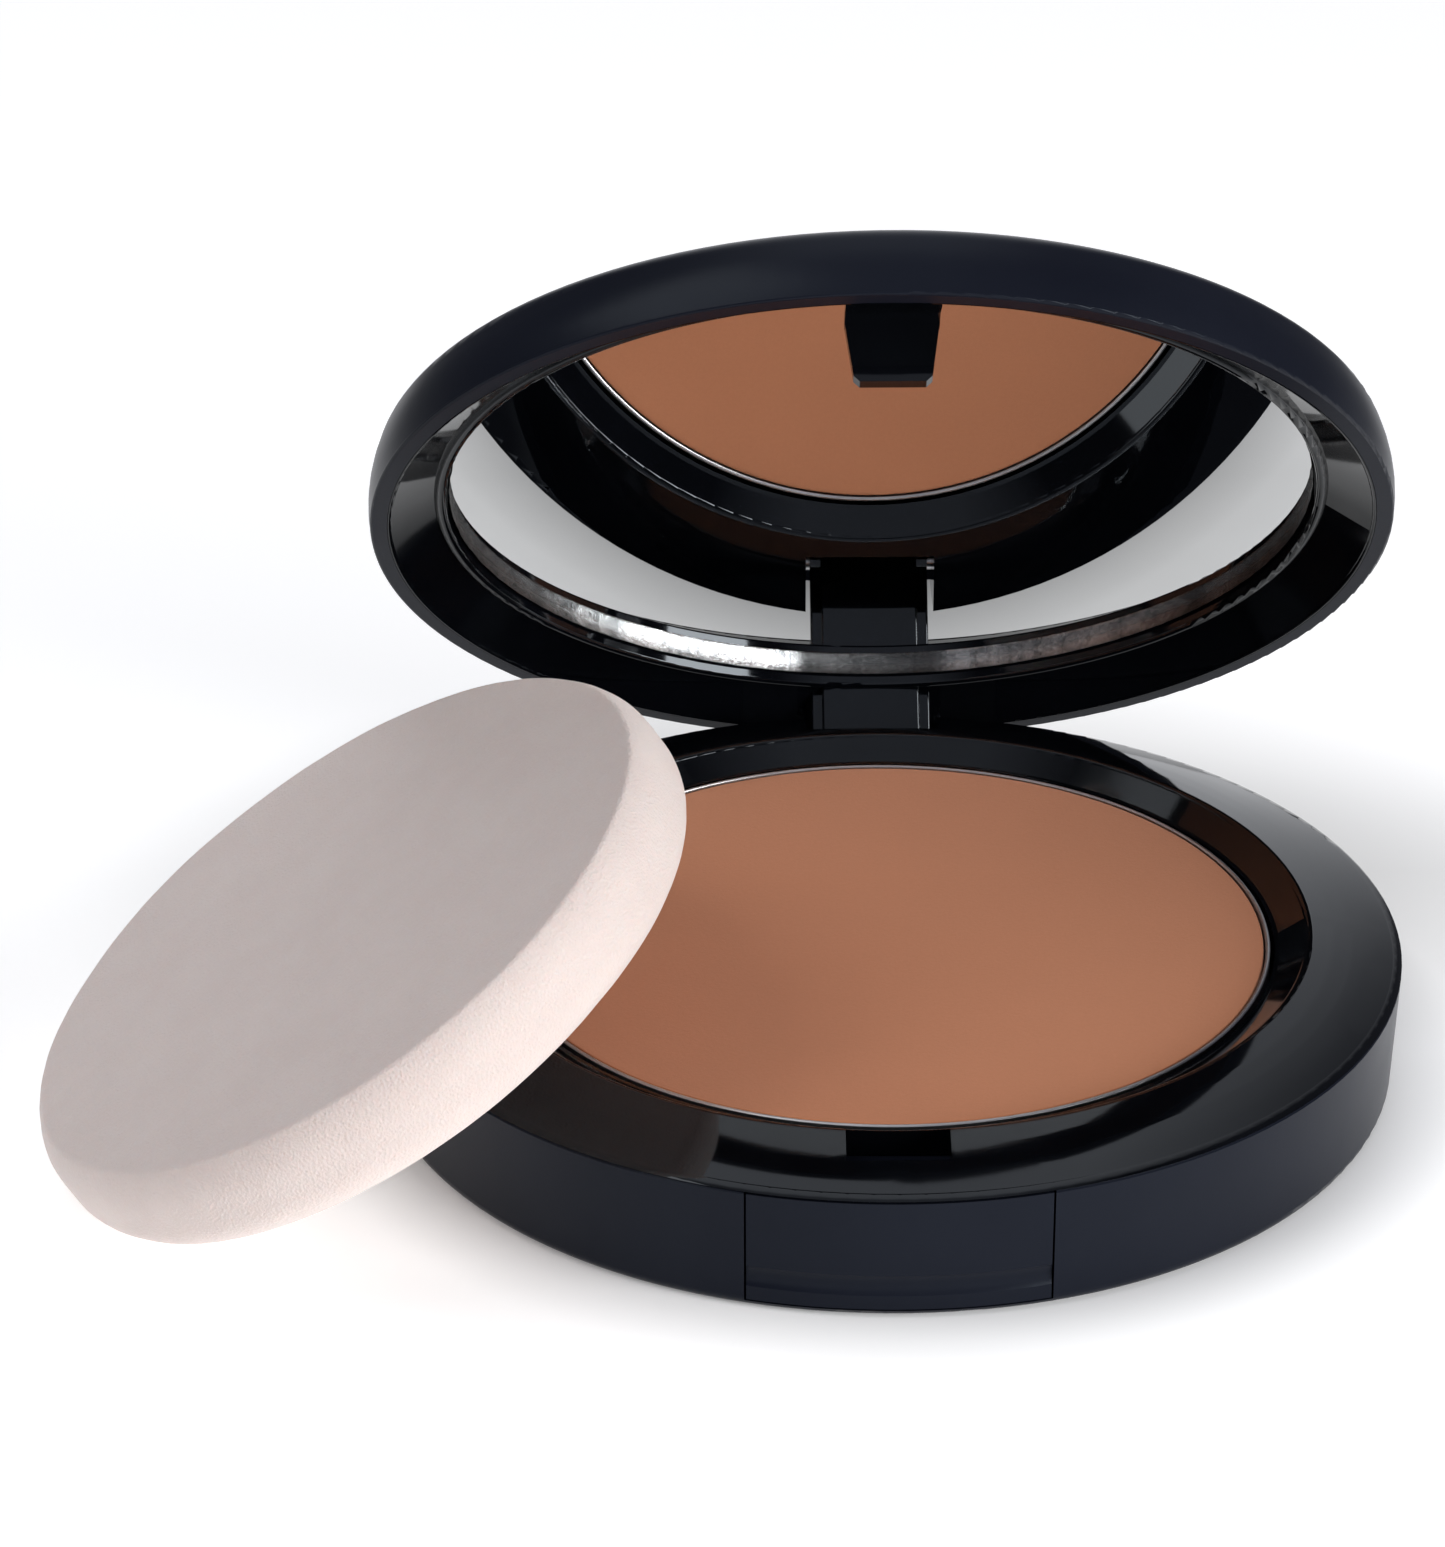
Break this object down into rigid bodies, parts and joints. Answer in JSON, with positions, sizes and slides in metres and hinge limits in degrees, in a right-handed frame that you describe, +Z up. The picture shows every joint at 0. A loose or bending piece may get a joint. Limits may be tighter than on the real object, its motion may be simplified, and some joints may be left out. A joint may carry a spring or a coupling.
{
  "type": "powder compact",
  "caption": "Round pressed-powder compact standing open: mirror lid on a pin hinge, push-button catch, powder in a metal pan, and a foam sponge leaning on its rim.",
  "frame": {"origin": "centre of the base's underside, on the table", "axes": "+Z up, +Y to the hinge at the back, -Y to the push button at the front, +X to the right"},
  "size_m": [0.1035, 0.0896, 0.069],
  "materials": {
    "satin_black": "satin moulded plastic",
    "gloss_black": "polished moulded plastic",
    "glue_pad": "double-sided pad",
    "pan_metal": "drawn aluminium",
    "powder": "pressed powder",
    "label": "blank satin label",
    "spring_steel": "spring strip",
    "pin_steel": "ground wire",
    "mirror_silver": "silvered, painted back",
    "mirror_glass": "clear float glass with a ground edge",
    "foam": "fine latex foam"
  },
  "bodies": {
    "base": {"base_shell": "satin_black", "base_ring": "gloss_black", "pan_adhesive": "glue_pad", "powder_pan": "pan_metal", "powder_cake": "powder", "base_label": "label", "button_spring": "spring_steel"},
    "button": {"push_button": "satin_black"},
    "pin": {"hinge_pin": "pin_steel"},
    "lid": {"lid_shell": "satin_black", "lid_frame": "gloss_black", "mirror_pad": "glue_pad", "mirror_silver": "mirror_silver", "mirror_glass": "mirror_glass"},
    "sponge": {"sponge": "foam"}
  },
  "joints": [
    {"name": "lid_close", "type": "hinge", "parent": "base", "child": "pin", "pos_m": [0, 0.0363, 0.004], "axis": [-1, 0, 0], "range_deg": [-49.4, 0]},
    {"name": "lid_open", "type": "hinge", "parent": "pin", "child": "lid", "pos_m": [0, 0.0363, 0.004], "axis": [-1, 0, 0], "range_deg": [0, 40.6]},
    {"name": "sponge_lift", "type": "slide", "parent": "base", "child": "sponge", "axis": [-0.9397, 0, 0.342], "range_m": [0, 0.0605]},
    {"name": "button_press", "type": "slide", "parent": "base", "child": "button", "axis": [0, 1, 0], "range_m": [0, 0.0006], "stiffness_N_per_m": 2500, "springref_m": -0.0004, "deforming": ["button_spring"]}
  ],
  "couplings": [
    {"joint": "sponge_lift", "follows": "lid_close", "m_per_rad": -0.06959}
  ]
}
